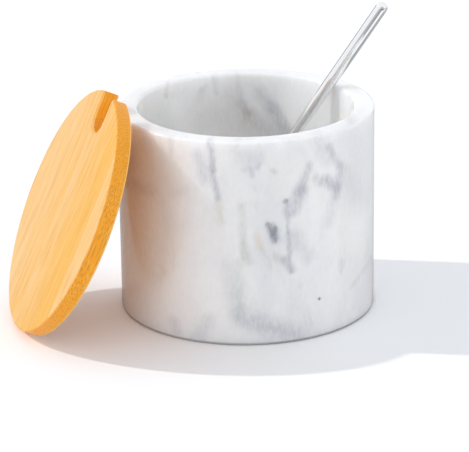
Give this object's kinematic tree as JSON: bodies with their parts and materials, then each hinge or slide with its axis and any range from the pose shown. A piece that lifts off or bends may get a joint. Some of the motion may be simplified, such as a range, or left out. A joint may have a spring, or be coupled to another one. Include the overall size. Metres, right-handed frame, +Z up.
{
  "type": "marble salt cellar",
  "caption": "Turned marble jar for salt with a slotted bamboo lid leaning on its side and a slim steel spoon standing in it.",
  "frame": {"origin": "middle of the jar's flat foot, on the surface that the set stands on", "axes": "+Z up along the jar's axis; -Y faces the viewer; -X is the side that the lid leans on"},
  "size_m": [0.1503, 0.1213, 0.1164],
  "materials": {
    "marble": "honed white marble with soft grey veins and a satin sheen",
    "bamboo": "lightly oiled honey-coloured bamboo, fine grain across the strips",
    "steel": "polished stainless steel"
  },
  "bodies": {
    "jar": {"marble_jar": "marble"},
    "lid": {"lid_strip_01": "bamboo", "lid_strip_02": "bamboo", "lid_strip_03": "bamboo", "lid_strip_04": "bamboo", "lid_strip_05": "bamboo", "lid_strip_06": "bamboo", "lid_strip_07": "bamboo", "lid_strip_08": "bamboo", "lid_strip_09": "bamboo", "lid_strip_10": "bamboo", "lid_strip_11": "bamboo", "lid_strip_12": "bamboo", "lid_strip_13": "bamboo", "lid_strip_14": "bamboo", "lid_strip_15": "bamboo"},
    "spoon": {"spoon_bowl": "steel", "spoon_handle": "steel"}
  },
  "joints": [
    {"name": "lid_lift", "type": "slide", "parent": "jar", "child": "lid", "axis": [0, 0, 1], "range_m": [0, 0.1]},
    {"name": "spoon_lift", "type": "slide", "parent": "jar", "child": "spoon", "axis": [0, 0, 1], "range_m": [0, 0.09]}
  ]
}
